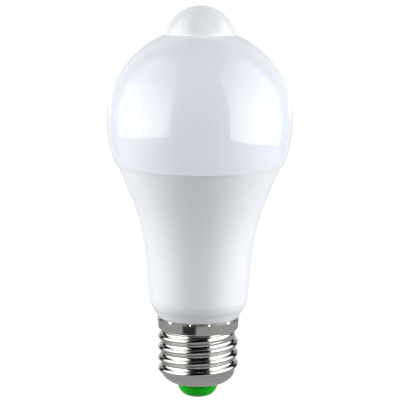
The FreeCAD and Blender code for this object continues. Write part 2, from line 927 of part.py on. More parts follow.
def make_block(name, long, wide, tall):
    # A moulded block standing on its own origin, with its upper edges broken.
    block = body_named(name)
    block_sketch = draw_box(sketch_on(block, "XY_Plane"), 0, 0, long, wide)
    base = pad(block, block_sketch, tall)
    doc.recompute()
    upper = [
        f"Edge{n}" for n, e in enumerate(base.Shape.Edges, start=1) if e.BoundBox.ZMin > tall.value / 2
    ]
    chamfer = block.newObject("PartDesign::Chamfer", "broken_edge")
    chamfer.Base = (base, upper)
    chamfer.Size = d.chip_edge.value
    chamfer.setExpression("Size", d.chip_edge.formula)
    block.Tip = chamfer
    return block


# Chip under the sensor board, between the board and the leads
sensor_chip = make_block("sensor_chip", d.chip_long, d.chip_wide, d.chip_thick)
upside_down = Rotation(Vector(1, 0, 0), 180)
place(sensor_chip, 0, d.chip_wide / 2, holder_ledge, upside_down)

# Driver board, upright in the neck with its shoulders in the floor's slots
board_front = -d.driver_board_back + d.driver_board_thick
shoulder_seat = floor_height - d.rail_depth
board_low = shoulder_seat - d.tongue_length
board_high = floor_height + d.driver_board_rise
driver_board = body_named("driver_board")
driver_sketch = sketch_on(driver_board, "XZ_Plane", -board_front)
draw(
    driver_sketch,
    [
        (-d.tongue_half, board_low),
        (d.tongue_half, board_low),
        (d.tongue_half, shoulder_seat),
        (d.driver_board_half, shoulder_seat),
        (d.driver_board_half, board_high),
        (-d.driver_board_half, board_high),
        (-d.driver_board_half, shoulder_seat),
        (-d.tongue_half, shoulder_seat),
    ],
)
pad(driver_board, driver_sketch, d.driver_board_thick)

# Parts on the board's roomy side: three stand in a row at its foot, and the inductor sits above two of them
deck = board_front + d.slip_gap / 2
parts_foot = floor_height + d.parts_rise
row_half = d.bulk_radius + d.output_radius + d.film_deep / 2 + d.part_gap
bulk_place = d.bulk_radius - row_half
output_place = bulk_place + d.bulk_radius + d.part_gap + d.output_radius
film_place = row_half - d.film_deep / 2
bulk_capacitor = make_electrolytic("bulk_capacitor", d.bulk_radius, d.bulk_height)
place(bulk_capacitor, bulk_place, deck + d.bulk_radius, parts_foot)
output_capacitor = make_electrolytic("output_capacitor", d.output_radius, d.output_height)
place(output_capacitor, output_place, deck + d.output_radius, parts_foot)

lying = Rotation(Vector(1, 0, 0), -90)
film = make_block("film_capacitor", d.film_deep, d.film_long, d.film_tall)
place(film, film_place, deck, parts_foot + d.film_long / 2, lying)

coil_place = (output_place + film_place) / 2
coil_height = parts_foot + d.output_height + d.part_gap + d.core_radius
core = body_named("inductor_core")
revolve(
    core,
    [
        (0, 0),
        (d.core_radius, 0),
        (d.core_radius, d.core_flange),
        (d.core_neck_radius, d.core_flange),
        (d.core_neck_radius, d.core_height - d.core_flange),
        (d.core_radius, d.core_height - d.core_flange),
        (d.core_radius, d.core_height),
        (0, d.core_height),
    ],
)
place(core, coil_place, deck, coil_height, lying)
coil = body_named("inductor_coil")
coil_sketch = sketch_on(coil, "XY_Plane", d.core_flange)
draw_circle(coil_sketch, 0, 0, d.coil_radius)
draw_circle(coil_sketch, 0, 0, d.core_neck_radius)
pad(coil, coil_sketch, d.core_height - d.core_flange * 2)
place(coil, coil_place, deck, coil_height, lying)

# The fusible resistor lies across the board's tongue, down in the spigot
fuse = body_named("fuse_resistor")
fuse_waist = d.fuse_radius - d.fuse_step
cap_end = d.fuse_cap + d.fuse_step
revolve(
    fuse,
    [
        (0, 0),
        (d.fuse_radius, 0),
        (d.fuse_radius, d.fuse_cap),
        (fuse_waist, cap_end),
        (fuse_waist, d.fuse_length - cap_end),
        (d.fuse_radius, d.fuse_length - d.fuse_cap),
        (d.fuse_radius, d.fuse_length),
        (0, d.fuse_length),
    ],
)
across = Rotation(Vector(0, 1, 0), 90)
fuse_height = (shoulder_seat + board_low) / 2 + d.fuse_radius
place(fuse, -d.fuse_length / 2, deck + d.fuse_radius, fuse_height, across)

# Parts on the board's back: the rectifier and the varistor side by side, the chip above them
back = board_front - d.driver_board_thick
turned_back = Rotation(Vector(1, 0, 0), 90)
bridge = make_block("bridge_rectifier", d.bridge_long, d.bridge_wide, d.bridge_thick)
place(bridge, (d.bridge_long + d.part_gap) / 2, back, parts_foot + d.bridge_wide / 2, turned_back)
varistor = body_named("varistor")
revolve(
    varistor,
    [
        (0, 0),
        (d.varistor_flat, 0),
        left_of(d.varistor_thick),
        (d.varistor_radius, d.varistor_thick / 2),
        left_of(d.varistor_thick),
        (d.varistor_flat, d.varistor_thick),
        (0, d.varistor_thick),
    ],
)
varistor_place = -d.varistor_radius - d.part_gap / 2
place(varistor, varistor_place, back - d.slip_gap / 2, parts_foot + d.varistor_radius, turned_back)
driver_chip = make_block("driver_chip", d.chip_long, d.chip_wide, d.chip_thick)
chip_height = parts_foot + d.varistor_radius * 2 + d.part_gap + d.chip_wide / 2
place(driver_chip, 0, back, chip_height, turned_back)


# Each bend of a lead starts at this share of its shorter run
bend_share = 0.45


def make_lead(name, radius, points):
    # A round lead along straight runs joined by tangent arcs, each arc as large as its runs allow.
    spots = [Vector(*[sized(v).value for v in p]) for p in points]
    edges = []
    at = spots[0]
    for before, corner, after in zip(spots, spots[1:], spots[2:]):
        back_way, on_way = (before - corner), (after - corner)
        turn = math.pi - back_way.getAngle(on_way)
        short = min(back_way.Length, on_way.Length) * bend_share
        bend = short / math.tan(turn / 2)
        leave = corner + back_way.normalize() * short
        arrive = corner + on_way.normalize() * short
        inward = (back_way + on_way).normalize()
        middle = corner + inward * (bend / math.cos(turn / 2) - bend)
        edges.append(Part.makeLine(at, leave))
        edges.append(Part.Arc(leave, middle, arrive).toShape())
        at = arrive
    edges.append(Part.makeLine(at, spots[-1]))
    path = Part.Wire(edges)
    start_way = spots[1] - spots[0]
    section = Part.Wire([Part.makeCircle(radius.value, spots[0], start_way)])
    feature_named(name, path.makePipeShell([section], True, False))


# Leads
stem_end = contact_seat + d.stem_height
contact_room = d.contact_sheet + d.slip_gap
back_face = back - d.bare_lead_radius
front_face = board_front + d.bare_lead_radius
make_lead(
    "live_lead",
    d.bare_lead_radius,
    [
        (0, 0, contact_room),
        (0, 0, stem_end + d.lead_rise),
        (0, back_face, board_low - d.lead_drop),
        (0, back_face, board_low + d.lead_tab),
    ],
)
notch_height = spigot_end + d.neutral_slot_height / 2
neutral_end = cap_inside - d.slip_gap
neutral_place = d.tongue_half - d.lead_tab
make_lead(
    "neutral_lead",
    d.bare_lead_radius,
    [
        (neutral_place, front_face, shoulder_seat - d.lead_tab),
        (neutral_place, front_face, notch_height + d.lead_rise),
        (neutral_place, 0, notch_height),
        (neutral_end, 0, notch_height),
    ],
)
# The leads to the LED board and to the sensor leave the driver board's back at its upper edge
lead_foot = board_high - d.lead_tab
lead_bend = board_high + d.lead_rise
for name, side, steps in (("led_lead_positive", 1, -2), ("led_lead_negative", -1, -3)):
    make_lead(
        name,
        d.bare_lead_radius,
        [
            (d.lead_pitch * steps, back_face, lead_foot),
            (d.lead_pitch * steps, back_face, lead_bend),
            (0, lead_hole_place * side, shelf_height - d.lead_drop),
            (0, lead_hole_place * side, board_top + d.lead_end),
        ],
    )
lead_names = ("sensor_lead_supply", "sensor_lead_ground", "sensor_lead_signal")
for number, name in enumerate(lead_names):
    foot_x = d.lead_pitch * (number + 1)
    head_x = d.sensor_lead_radius * 3 * (number - 1)
    head_y = -tube_inside / 2
    face = back - d.sensor_lead_radius
    make_lead(
        name,
        d.sensor_lead_radius,
        [
            (foot_x, face, lead_foot),
            (foot_x, face, lead_bend),
            (head_x, head_y, shelf_height),
            (head_x, head_y, holder_ledge - d.slip_gap / 2),
        ],
    )

doc.recompute()
for thing in doc.Objects:
    if "Invalid" in thing.State or "Error" in thing.State:
        raise RuntimeError(f"{thing.Label} did not build")
for node in nodes:
    if node.Shape.isNull() or not node.Shape.isValid():
        raise RuntimeError(f"{node.Label} has no sound shape")
os.makedirs("parts", exist_ok=True)
for node in nodes:
    node.Shape.exportStep(f"parts/{node.Label}.step")
    print(node.Label, len(node.Shape.Solids), round(node.Shape.Volume, 1))
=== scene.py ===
import json
import math

import bmesh
import bpy
from mathutils import Matrix, Vector


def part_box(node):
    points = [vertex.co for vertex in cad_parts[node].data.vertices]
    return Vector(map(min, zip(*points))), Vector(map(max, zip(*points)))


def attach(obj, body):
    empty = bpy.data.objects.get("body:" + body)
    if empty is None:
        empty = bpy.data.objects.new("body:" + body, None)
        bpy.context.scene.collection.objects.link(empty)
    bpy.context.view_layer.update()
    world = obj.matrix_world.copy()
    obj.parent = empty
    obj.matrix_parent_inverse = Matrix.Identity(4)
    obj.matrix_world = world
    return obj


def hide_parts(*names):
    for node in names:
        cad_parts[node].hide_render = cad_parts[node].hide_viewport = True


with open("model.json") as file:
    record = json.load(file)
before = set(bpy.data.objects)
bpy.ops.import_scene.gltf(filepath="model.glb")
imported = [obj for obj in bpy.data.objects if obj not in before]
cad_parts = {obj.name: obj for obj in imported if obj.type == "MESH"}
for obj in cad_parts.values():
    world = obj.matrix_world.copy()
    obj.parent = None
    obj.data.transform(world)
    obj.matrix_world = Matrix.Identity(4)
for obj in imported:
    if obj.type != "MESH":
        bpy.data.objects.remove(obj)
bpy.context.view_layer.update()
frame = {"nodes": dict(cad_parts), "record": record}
print("Stage 1: the CAD frame is in, with", len(frame["nodes"]), "pieces")

# Lengths below are in millimetres, and Blender's are in metres
mm = 0.001


def frameSize(node):
    # A CAD piece's widest radius, its foot and its top
    low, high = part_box(node)
    return high.x / mm, low.z / mm, high.z / mm


def beside(radius, away):
    # How far a circle's edge lies from its middle line, at a distance along that line
    return math.sqrt(radius * radius - away * away)


def eased(share):
    # A rise from 0 to 1 that starts and ends level
    share = min(max(share, 0.0), 1.0)
    return share * share * (3 - 2 * share)


# Outlines and skins

arcStep = math.radians(2.5)
sharpAngle = math.radians(35)


def arcRun(start, end, bend):
    # The short arc from start to just before end. Its centre is left of the way there, or right for
    # a bend below 0
    start, end = Vector(start), Vector(end)
    half = (end - start) / 2
    reach = math.sqrt(max(bend * bend - half.length_squared, 0))
    across = Vector((-half.y, half.x)).normalized()
    centre = start + half + across * math.copysign(reach, bend)
    first = math.atan2(start.y - centre.y, start.x - centre.x)
    last = math.atan2(end.y - centre.y, end.x - centre.x)
    sweep = (last - first + math.pi) % (2 * math.pi) - math.pi
    steps = max(2, math.ceil(abs(sweep) / arcStep))
    angles = [first + sweep * n / steps for n in range(steps)]
    return [(centre.x + abs(bend) * math.cos(a), centre.y + abs(bend) * math.sin(a)) for a in angles]


def outlineRings(corners):
    # A closed outline as rings. A corner is a radius, a height and, where an arc starts, its bend
    rings = []
    for number, corner in enumerate(corners):
        following = corners[(number + 1) % len(corners)]
        points = arcRun(corner[:2], following[:2], corner[2]) if len(corner) == 3 else [corner]
        rings += [lambda turn, point=point: point for point in points]
    return rings


def ringedPiece(name, rings, spokes, node):
    # A closed skin through rings round the axis. Each ring gives its radius and height at a turn
    # from 0 to 1
    shape = bmesh.new()
    loops = []
    for ring in rings:
        radius, height = ring(0)
        if radius == 0:
            loops.append([shape.verts.new((0, 0, height * mm))])
            continue
        loop = []
        for spoke in range(spokes):
            radius, height = ring(spoke / spokes)
            angle = 2 * math.pi * spoke / spokes
            away, aside = radius * math.cos(angle), radius * math.sin(angle)
            loop.append(shape.verts.new((away * mm, aside * mm, height * mm)))
        loops.append(loop)
    for one, other in zip(loops, loops[1:] + loops[:1]):
        for spoke in range(spokes):
            corners = [one[spoke % len(one)], one[(spoke + 1) % len(one)]]
            corners += [other[(spoke + 1) % len(other)], other[spoke % len(other)]]
            corners = list(dict.fromkeys(corners))
            if len(corners) > 2:
                shape.faces.new(corners)
    bmesh.ops.recalc_face_normals(shape, faces=shape.faces)
    mesh = bpy.data.meshes.new(name)
    shape.to_mesh(mesh)
    shape.free()
    mesh.shade_smooth()
    mesh.set_sharp_from_angle(angle=sharpAngle)
    piece = bpy.data.objects.new(name, mesh)
    bpy.context.scene.collection.objects.link(piece)
    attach(piece, "root")
    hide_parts(node)
    return piece


def roundEdges(piece, width):
    # Breaks a piece's sharp edges, so that they catch a thin line of light
    edge = piece.modifiers.new("brokenEdges", "BEVEL")
    edge.width = width * mm
    edge.segments = 2
    edge.limit_method = "ANGLE"
    edge.angle_limit = sharpAngle


# Material tools


def linearColour(code):
    # An sRGB hex value as the linear colour that a shader wants
    shares = [int(code[n:n + 2], 16) / 255 for n in (1, 3, 5)]
    return [s / 12.92 if s <= 0.04045 else ((s + 0.055) / 1.055) ** 2.4 for s in shares] + [1.0]


def addNode(tree, kind, settings=None, values=None, links=None):
    # Adds a node with its own settings, the plain values of its sockets, and what its other sockets
    # are linked to
    node = tree.nodes.new(kind)
    for name, setting in (settings or {}).items():
        setattr(node, name, setting)
    for name, value in (values or {}).items():
        node.inputs[name].default_value = value
    for name, source in (links or {}).items():
        tree.links.new(source, node.inputs[name])
    return node


def startMaterial(name, values):
    # A material with its surface shader's plain values, and the piece's own coordinates
    material = bpy.data.materials.new(name)
    material.use_nodes = True
    tree = material.node_tree
    surface = tree.nodes["Principled BSDF"]
    for socket, value in values.items():
        surface.inputs[socket].default_value = value
    place = addNode(tree, "ShaderNodeTexCoord").outputs["Object"]
    return material, tree, surface, place


def patches(tree, place, size, detail=3.0):
    # Soft random patches of a real size, from 0 to 1
    noise = addNode(tree, "ShaderNodeTexNoise", values={"Scale": 1 / (size * mm), "Detail": detail},
                    links={"Vector": place})
    return noise.outputs["Fac"]


def tint(tree, surface, share, oneCode, otherCode):
    # Runs the surface's colour from one to the other with a share
    mix = addNode(tree, "ShaderNodeMix", {"data_type": "RGBA"},
                  {6: linearColour(oneCode), 7: linearColour(otherCode)}, {0: share})
    tree.links.new(mix.outputs[2], surface.inputs["Base Color"])


def gloss(tree, surface, share, lowest, highest):
    # Runs the surface's roughness between two values with a share
    spread = addNode(tree, "ShaderNodeMapRange", values={"To Min": lowest, "To Max": highest},
                     links={"Value": share})
    tree.links.new(spread.outputs["Result"], surface.inputs["Roughness"])


def relief(tree, surface, height, depth):
    # Raises the surface by a real depth where the height is 1
    bump = addNode(tree, "ShaderNodeBump", values={"Distance": depth * mm}, links={"Height": height})
    tree.links.new(bump.outputs["Normal"], surface.inputs["Normal"])


def stretched(tree, place, scale):
    # Coordinates squeezed or stretched along each axis
    turn = addNode(tree, "ShaderNodeMapping", values={"Scale": scale}, links={"Vector": place})
    return turn.outputs["Vector"]


# Diffuser globe

globeRadius, skirtFoot, holeTop = frameSize("diffuser_globe")
diffuserGlobe = {
    "seamLift": 1.5,      # the seam stands this far above the housing node's rim, as on the real bulb
    "drop": 14.1,         # from its widest ring down to the seam
    "tuck": 2.75,         # how far it draws in on the way
    "wall": 1.5,
    "skirtInset": 3.85,   # the skirt that snaps into the housing
    "skirtWall": 1.4,
    "snapBead": 0.25,
    "snapHeight": 2.0,
    "lensHole": 10.6,
    "brokenEdge": 0.18,
    "spokes": 192,
    # A painted glow: the even light that the hollow shell passes round inside, which the render can't
    # follow
    "glow": "#f1f5fc",
    "paintedGlowShare": 0.34,
}
seamHeight = frameSize("housing")[2] + diffuserGlobe["seamLift"]
seamRadius = globeRadius - diffuserGlobe["tuck"]
globeHeight = seamHeight + diffuserGlobe["drop"]


def opalPolycarbonate():
    # Opal polycarbonate, moulded in a polished tool: light soaks in and evens out the shading, helped by a
    # painted glow for the light the hollow shell passes round inside, and the lamps show on it as windows
    # with soft edges
    material, tree, surface, place = startMaterial("opalPolycarbonate", {
        "IOR": 1.585,
        "Subsurface Weight": 1.0,
        "Subsurface Radius": (1.0, 1.0, 1.0),
        "Subsurface Scale": 2.2 * mm,
        # Painted glow: an even emission stands in for the light passed round inside the hollow shell
        "Emission Color": linearColour(diffuserGlobe["glow"]),
        "Emission Strength": diffuserGlobe["paintedGlowShare"],
    })
    flow = patches(tree, place, 14.0, 2.0)
    tint(tree, surface, flow, "#b8bbc0", "#b5b8bd")
    gloss(tree, surface, patches(tree, place, 5.0), 0.025, 0.04)
    # The polished tool's long, faint waves
    relief(tree, surface, flow, 0.006)
    return material


def buildGlobe():
    size = diffuserGlobe
    lowerBend = (size["drop"] ** 2 + size["tuck"] ** 2) / (size["tuck"] * 2)
    insideRadius = globeRadius - size["wall"]
    insideBend = lowerBend - size["wall"]
    ledgeHeight = seamHeight + size["wall"]
    ledgeRadius = insideRadius - insideBend + beside(insideBend, globeHeight - ledgeHeight)
    skirtRadius = seamRadius - size["skirtInset"]
    skirtInside = skirtRadius - size["skirtWall"]
    bead, beadHeight = size["snapBead"], seamHeight - size["snapHeight"]
    hole = size["lensHole"]
    globe = ringedPiece("diffuserGlobe", outlineRings([
        (hole, globeHeight + beside(globeRadius, hole)),
        (hole, globeHeight + beside(insideRadius, hole), -insideRadius),
        (insideRadius, globeHeight, -insideBend),
        (ledgeRadius, ledgeHeight),
        (skirtInside, ledgeHeight),
        (skirtInside, skirtFoot),
        (skirtRadius, skirtFoot),
        (skirtRadius, beadHeight - bead * 2),
        (skirtRadius + bead, beadHeight),
        (skirtRadius, beadHeight + bead * 2),
        (skirtRadius, seamHeight),
        (seamRadius, seamHeight, lowerBend),
        (globeRadius, globeHeight, globeRadius),
    ]), size["spokes"], "diffuser_globe")
    roundEdges(globe, size["brokenEdge"])
    globe.data.materials.append(opalPolycarbonate())


buildGlobe()

# Sensor lens

neckEnd, lensTop = frameSize("sensor_lens")[1:]
sensorLens = {
    "domeRadius": 11.6,
    "footRadius": 11.3,
    "wall": 0.7,
    "neckWall": 0.8,
    "neckRadius": 10.5,
    "hook": 0.3,
    "hookGap": 0.1,
    "ledgeGap": 0.14,
    "brokenEdge": 0.12,
    "spokes": 128,
    "facets": 8,
    # The pale fields and the glow below are painted light, for the light that the thin faceted lens lets
    # through
    "facetTurn": 0.6,         # radians, of the pale fields that show through
    "fieldHeight": 122.5,
    "fieldReach": 4.0,
    "glow": "#f6f9fc",       # as the globe's
    "paintedGlowShare": 0.34,
    "facetShares": (0, 0.42, 0.75, 0.95),    # heights of the rings of facet corners, as shares of the dome
}
lensMiddle = lensTop - sensorLens["domeRadius"]


def milkyPolyethylene():
    # Milky polyethylene, moulded thin to let the sensor's heat rays through: a painted glow, and painted
    # light and shade in faint brighter and darker fields round the small flat lenses on its inside, stand
    # in for the light it passes
    material, tree, surface, place = startMaterial("milkyPolyethylene", {
        "IOR": 1.51,
        "Subsurface Weight": 0.7,
        "Subsurface Radius": (1.0, 1.0, 1.0),
        "Subsurface Scale": 1.2 * mm,
        # Painted glow: an even emission stands in for the light the thin lens passes
        "Emission Color": linearColour(sensorLens["glow"]),
        "Emission Strength": sensorLens["paintedGlowShare"],
    })
    # The painted fields of light and shade brighten towards their middles, side by side round the axis
    parts = addNode(tree, "ShaderNodeSeparateXYZ", links={0: place})
    turn = addNode(tree, "ShaderNodeMath", {"operation": "ARCTAN2"},
                   links={0: parts.outputs["Y"], 1: parts.outputs["X"]})
    sides = addNode(tree, "ShaderNodeMath", {"operation": "MULTIPLY_ADD"},
                    {1: sensorLens["facets"], 2: sensorLens["facetTurn"]}, {0: turn.outputs[0]})
    wave = addNode(tree, "ShaderNodeMath", {"operation": "SINE"}, links={0: sides.outputs[0]})
    rise = addNode(tree, "ShaderNodeMath", {"operation": "SUBTRACT"}, {1: sensorLens["fieldHeight"] * mm},
                   {0: parts.outputs["Z"]})
    away = addNode(tree, "ShaderNodeMath", {"operation": "ABSOLUTE"}, links={0: rise.outputs[0]})
    reach = {"From Max": sensorLens["fieldReach"] * mm, "To Min": 1.0, "To Max": 0.0}
    band = addNode(tree, "ShaderNodeMapRange", {"interpolation_type": "SMOOTHSTEP"}, reach,
                   {0: away.outputs[0]})
    paintedLightField = addNode(tree, "ShaderNodeMath", {"operation": "MULTIPLY"},
                    links={0: wave.outputs[0], 1: band.outputs[0]})
    shade = addNode(tree, "ShaderNodeMapRange", values={"From Min": -1.0}, links={0: paintedLightField.outputs[0]})
    # Painted light and shade: the fields run the lens's colour from darker to paler grey
    tint(tree, surface, shade.outputs[0], "#aeb1b3", "#bec0c2")
    gloss(tree, surface, patches(tree, place, 3.0), 0.05, 0.09)
    relief(tree, surface, patches(tree, place, 6.0, 1.0), 0.01)
    return material


def buildLens():
    size = sensorLens
    neck, neckInside = size["neckRadius"], size["neckRadius"] - size["neckWall"]
    facetFoot = holeTop + size["ledgeGap"] + size["wall"]
    footHeight = lensMiddle + beside(size["domeRadius"], size["footRadius"])
    holeFoot = globeHeight + beside(globeRadius - diffuserGlobe["wall"], diffuserGlobe["lensHole"])
    hookHeight = holeFoot - size["hookGap"]
    dome = size["domeRadius"] - size["wall"]
    facetRings = []
    for share in size["facetShares"]:
        height = facetFoot + (lensMiddle + dome - facetFoot) * share
        facetRings.append((beside(dome, height - lensMiddle), height))

    def facetRing(radius, height):
        # The flat-sided ring of one height on the inside of the dome
        half = math.pi / size["facets"]

        def at(turn):
            away = (2 * math.pi * turn + half) % (2 * half) - half
            return radius * math.cos(half) / math.cos(away), height

        return at

    rings = [lambda turn: (0, facetRings[-1][1])]
    rings += [facetRing(radius, height) for radius, height in reversed(facetRings)]
    rings += outlineRings([
        (neckInside, facetFoot),
        (neckInside, neckEnd),
        (neck, neckEnd),
        (neck + size["hook"], hookHeight - size["hook"]),
        (neck, hookHeight),
        (neck, holeTop + size["ledgeGap"]),
        (size["footRadius"], footHeight, size["domeRadius"]),
        (0, lensTop),
    ])
    lens = ringedPiece("sensorLens", rings, size["spokes"], "sensor_lens")
    roundEdges(lens, size["brokenEdge"])
    lens.data.materials.append(milkyPolyethylene())


buildLens()

# Housing

neckFoot = frameSize("housing")[1]
capWidest, capRim = frameSize("screw_shell")[::2]
mouldedHousing = {
    "rimStep": 0.6,            # the globe stands this far proud of the rim
    "mouthRun": 5.0,
    "mouthRise": 11.8,
    "flareBend": 72.0,
    "waistRadius": 17.0,
    "waistHeight": 42.0,
    "neckRadius": 16.3,
    "neckHeight": 34.0,
    "cornerBend": 6.5,
    "cornerRadius": 14.75,
    "cornerHeight": 29.7,
    "shoulderRadius": 13.35,
    "shoulderHeight": 27.3,
    # The inside follows the housing node, clear of what it holds
    "insideFlare": 20.2,
    "insideFlareHeight": 64.5,
    "insideWaist": 15.4,
    "insideNeck": 14.9,
    "insideNeckHeight": 33.1,
    "floorHeight": 30.1,       # where the slots that hold the driver board end
    "spigotCut": 5.0,          # the spigot ends above the lead that turns out under it
    "wall": 1.6,
    "socketGap": 0.1,          # round the globe's skirt
    "shelfReach": 1.2,         # how far the shelf stands in from the skirt
    "shelfThick": 1.3,
    "spigotInset": 0.6,        # from the cap's widest radius, in its collar and in its thread
    "spigotLowInset": 1.65,
    "spigotStepFoot": 4.55,    # down from the cap's lip
    "spigotStepTop": 3.5,
    "spigotWall": 1.5,
    "brokenEdge": 0.2,
    "spokes": 192,
}


def mouldedPolyester():
    # White polyester, injection moulded in a finely sparked tool: a silky shell that spreads the
    # lamps' light into broad, soft bands
    material, tree, surface, place = startMaterial("mouldedPolyester", {
        "IOR": 1.57,
        "Subsurface Weight": 0.12,
        "Subsurface Radius": (1.0, 1.0, 1.0),
        "Subsurface Scale": 0.8 * mm,
    })
    tint(tree, surface, patches(tree, place, 18.0), "#dee1e5", "#dadde1")
    gloss(tree, surface, patches(tree, place, 4.0), 0.3, 0.4)
    # The sparked grain is about 0.05 mm, and is drawn at 0.35 mm so that it shows
    relief(tree, surface, patches(tree, place, 0.35, 1.0), 0.006)
    return material


def buildHousing():
    size = mouldedHousing
    bend = size["flareBend"]
    rimRadius = seamRadius - size["rimStep"]
    flareRadius, flareHeight = rimRadius - size["mouthRun"], seamHeight - size["mouthRise"]
    socket = seamRadius - diffuserGlobe["skirtInset"] + size["socketGap"]
    shelf = socket - size["socketGap"] - diffuserGlobe["skirtWall"] - size["shelfReach"]
    bead, beadHeight = diffuserGlobe["snapBead"], seamHeight - diffuserGlobe["snapHeight"]
    inside, floorHeight = size["insideNeck"], size["floorHeight"]
    spigot, spigotLow = capWidest - size["spigotInset"], capWidest - size["spigotLowInset"]
    bore, spigotEnd = spigotLow - size["spigotWall"], neckFoot + size["spigotCut"]
    housing = ringedPiece("mouldedHousing", outlineRings([
        (spigot, size["shoulderHeight"]),
        (size["shoulderRadius"], size["shoulderHeight"]),
        (size["cornerRadius"], size["cornerHeight"], size["cornerBend"]),
        (size["neckRadius"], size["neckHeight"]),
        (size["waistRadius"], size["waistHeight"], -bend),
        (flareRadius, flareHeight),
        (rimRadius, seamHeight),
        (socket, seamHeight),
        (socket, beadHeight + bead * 2),
        (socket + bead, beadHeight),
        (socket, beadHeight - bead * 2),
        (socket, skirtFoot),
        (shelf, skirtFoot),
        (shelf, skirtFoot - size["shelfThick"]),
        (size["insideFlare"], size["insideFlareHeight"], bend + size["wall"]),
        (size["insideWaist"], size["waistHeight"]),
        (inside, size["insideNeckHeight"]),
        (inside, floorHeight),
        (bore, floorHeight),
        (bore, spigotEnd),
        (spigotLow, spigotEnd),
        (spigotLow, capRim - size["spigotStepFoot"]),
        (spigot, capRim - size["spigotStepTop"]),
    ]), size["spokes"], "housing")
    roundEdges(housing, size["brokenEdge"])
    housing.data.materials.append(mouldedPolyester())


buildHousing()

# Screw cap

screwCap = {
    "pitch": 3.629,
    "depth": 1.05,
    "sheet": 0.3,
    "firstCrest": 9.4,        # on the left side
    "turns": 3.2,
    "fadeTurns": 0.3,
    "collarHeight": 4.6,
    "collarBlend": 1.1,
    "lipFlare": 0.2,
    "bowlTop": 8.8,
    "bowlDepth": 5.4,
    "mouthRadius": 6.6,
    "dents": 12,
    "dentTurn": 17.0,         # degrees from the front
    "dentReach": 0.9,         # down from the lip
    "dentHalfWidth": 0.55,
    "dentDepth": 0.25,
    "dentSteep": 1.5,
    "lipZone": 1.8,           # down from the lip, where the rings lie close for the punch marks
    "spokes": 288,
}
threadRoot = capWidest - screwCap["lipFlare"] - screwCap["depth"]


def threadForm(away):
    # The round thread's height as a share of its depth, away from a crest by a share of the pitch
    pitch, depth = screwCap["pitch"], screwCap["depth"]
    along = abs(away) * pitch
    arc = ((pitch / 2) ** 2 + depth ** 2) / (4 * depth)
    if along <= pitch / 4:
        return (depth - arc + beside(arc, along)) / depth
    return (arc - beside(arc, pitch / 2 - along)) / depth


def dentAt(turn, below):
    # How deep a punch mark has pressed the sheet in
    size = screwCap
    step = 1 / size["dents"]
    first = (size["dentTurn"] - 90) / 360
    away = (turn - first + step / 2) % step - step / 2
    across = abs(away) * 2 * math.pi * capWidest
    left = 1 - below / size["dentReach"] - across / size["dentHalfWidth"]
    return size["dentDepth"] * eased(left * size["dentSteep"])


def capRing(run, inset):
    # One ring of the cap's skin: run is the way down from its lip, and inset goes into the sheet
    size = screwCap
    straight = capRim - size["bowlTop"]

    def at(turn):
        if run <= straight:
            baseRadius, baseHeight, out, up = threadRoot, capRim - run, 1.0, 0.0
            level = baseHeight
        else:
            angle = (run - straight) / bowlRun * bowlTurn
            baseRadius = threadRoot * math.cos(angle)
            baseHeight = size["bowlTop"] - size["bowlDepth"] * math.sin(angle)
            out, up = size["bowlDepth"] * math.cos(angle), -threadRoot * math.sin(angle)
            out, up = out / math.hypot(out, up), up / math.hypot(out, up)
            level = size["bowlTop"] - (run - straight)
        turnsUp = (level - size["firstCrest"]) / size["pitch"] + 0.5
        crest = round(turnsUp - turn) + turn
        done = crest - 0.5
        fade = eased(done / size["fadeTurns"] + 1)
        fade *= eased((size["turns"] - done) / size["fadeTurns"] + 1)
        ridge = threadForm(turnsUp - crest) * fade
        above = level - (capRim - size["collarHeight"])
        collar = eased(above / size["collarBlend"])
        flare = size["lipFlare"] * eased(above / size["collarHeight"])
        swell = size["depth"] * (1 - (1 - ridge) * (1 - collar)) + flare - inset
        if inset == 0:
            swell -= dentAt(turn, run)
        return baseRadius + swell * out, baseHeight + swell * up

    return at


def steppedRuns(spans):
    # Distances along the cap from one mark to the next, each span cut into its own number of steps
    runs = []
    for (start, steps), (end, _) in zip(spans, spans[1:]):
        runs += [start + (end - start) * n / steps for n in range(steps)]
    return runs + [spans[-1][0]]


bowlTurn = math.acos(screwCap["mouthRadius"] / threadRoot)
bowlRun = bowlTurn * (threadRoot + screwCap["bowlDepth"]) / 2


def rolledNickel():
    # Brass strip, drawn, rolled to the thread and nickel plated: a bright mirror with fine lines round
    # it from the rolls and a soft haze where the rolls pressed
    material, tree, surface, place = startMaterial("rolledNickelPlate", {"Metallic": 1.0})
    tint(tree, surface, patches(tree, place, 6.0), "#d9d8d5", "#cfcecb")
    # The rolls' lines run round the cap, 0.25 mm apart
    lines = patches(tree, stretched(tree, place, (0.04, 0.04, 1.0)), 0.25, 2.0)
    gloss(tree, surface, lines, 0.1, 0.18)
    relief(tree, surface, lines, 0.0015)
    return material


def buildCap():
    size = screwCap
    straight = capRim - size["bowlTop"]
    whole = straight + bowlRun
    collarFoot = size["collarHeight"] - size["collarBlend"]
    # Each mark on the way down from the lip, and how many rings follow it
    outside = steppedRuns([(0, 24), (size["lipZone"], 12), (collarFoot, 90), (straight, 30), (whole, 0)])
    inside = steppedRuns([(0, 6), (collarFoot, 50), (straight, 14), (whole, 0)])
    rings = [capRing(run, 0) for run in outside]
    rings += [capRing(run, size["sheet"]) for run in reversed(inside)]
    cap = ringedPiece("screwCap", rings, size["spokes"], "screw_shell")
    cap.data.materials.append(rolledNickel())


buildCap()

# Insulator and centre contact

insulator = {
    "footRadius": 4.3,
    "footHeight": 0.6,
    "bulge": 4.2,
    "thick": 2.2,
    "seatShare": 0.78,        # of the thread's root radius
    "gap": 0.1,
    "brokenEdge": 0.12,
    "spokes": 128,
}
centreContact = {
    "radius": 4.0,
    "flatRadius": 1.7,
    "bend": 7.6,
    "sheet": 0.45,
    "stemRadius": 1.3,
    "stemHeight": 4.2,
    "bore": 0.5,
    "seatGap": 0.02,
    "spokes": 96,
}


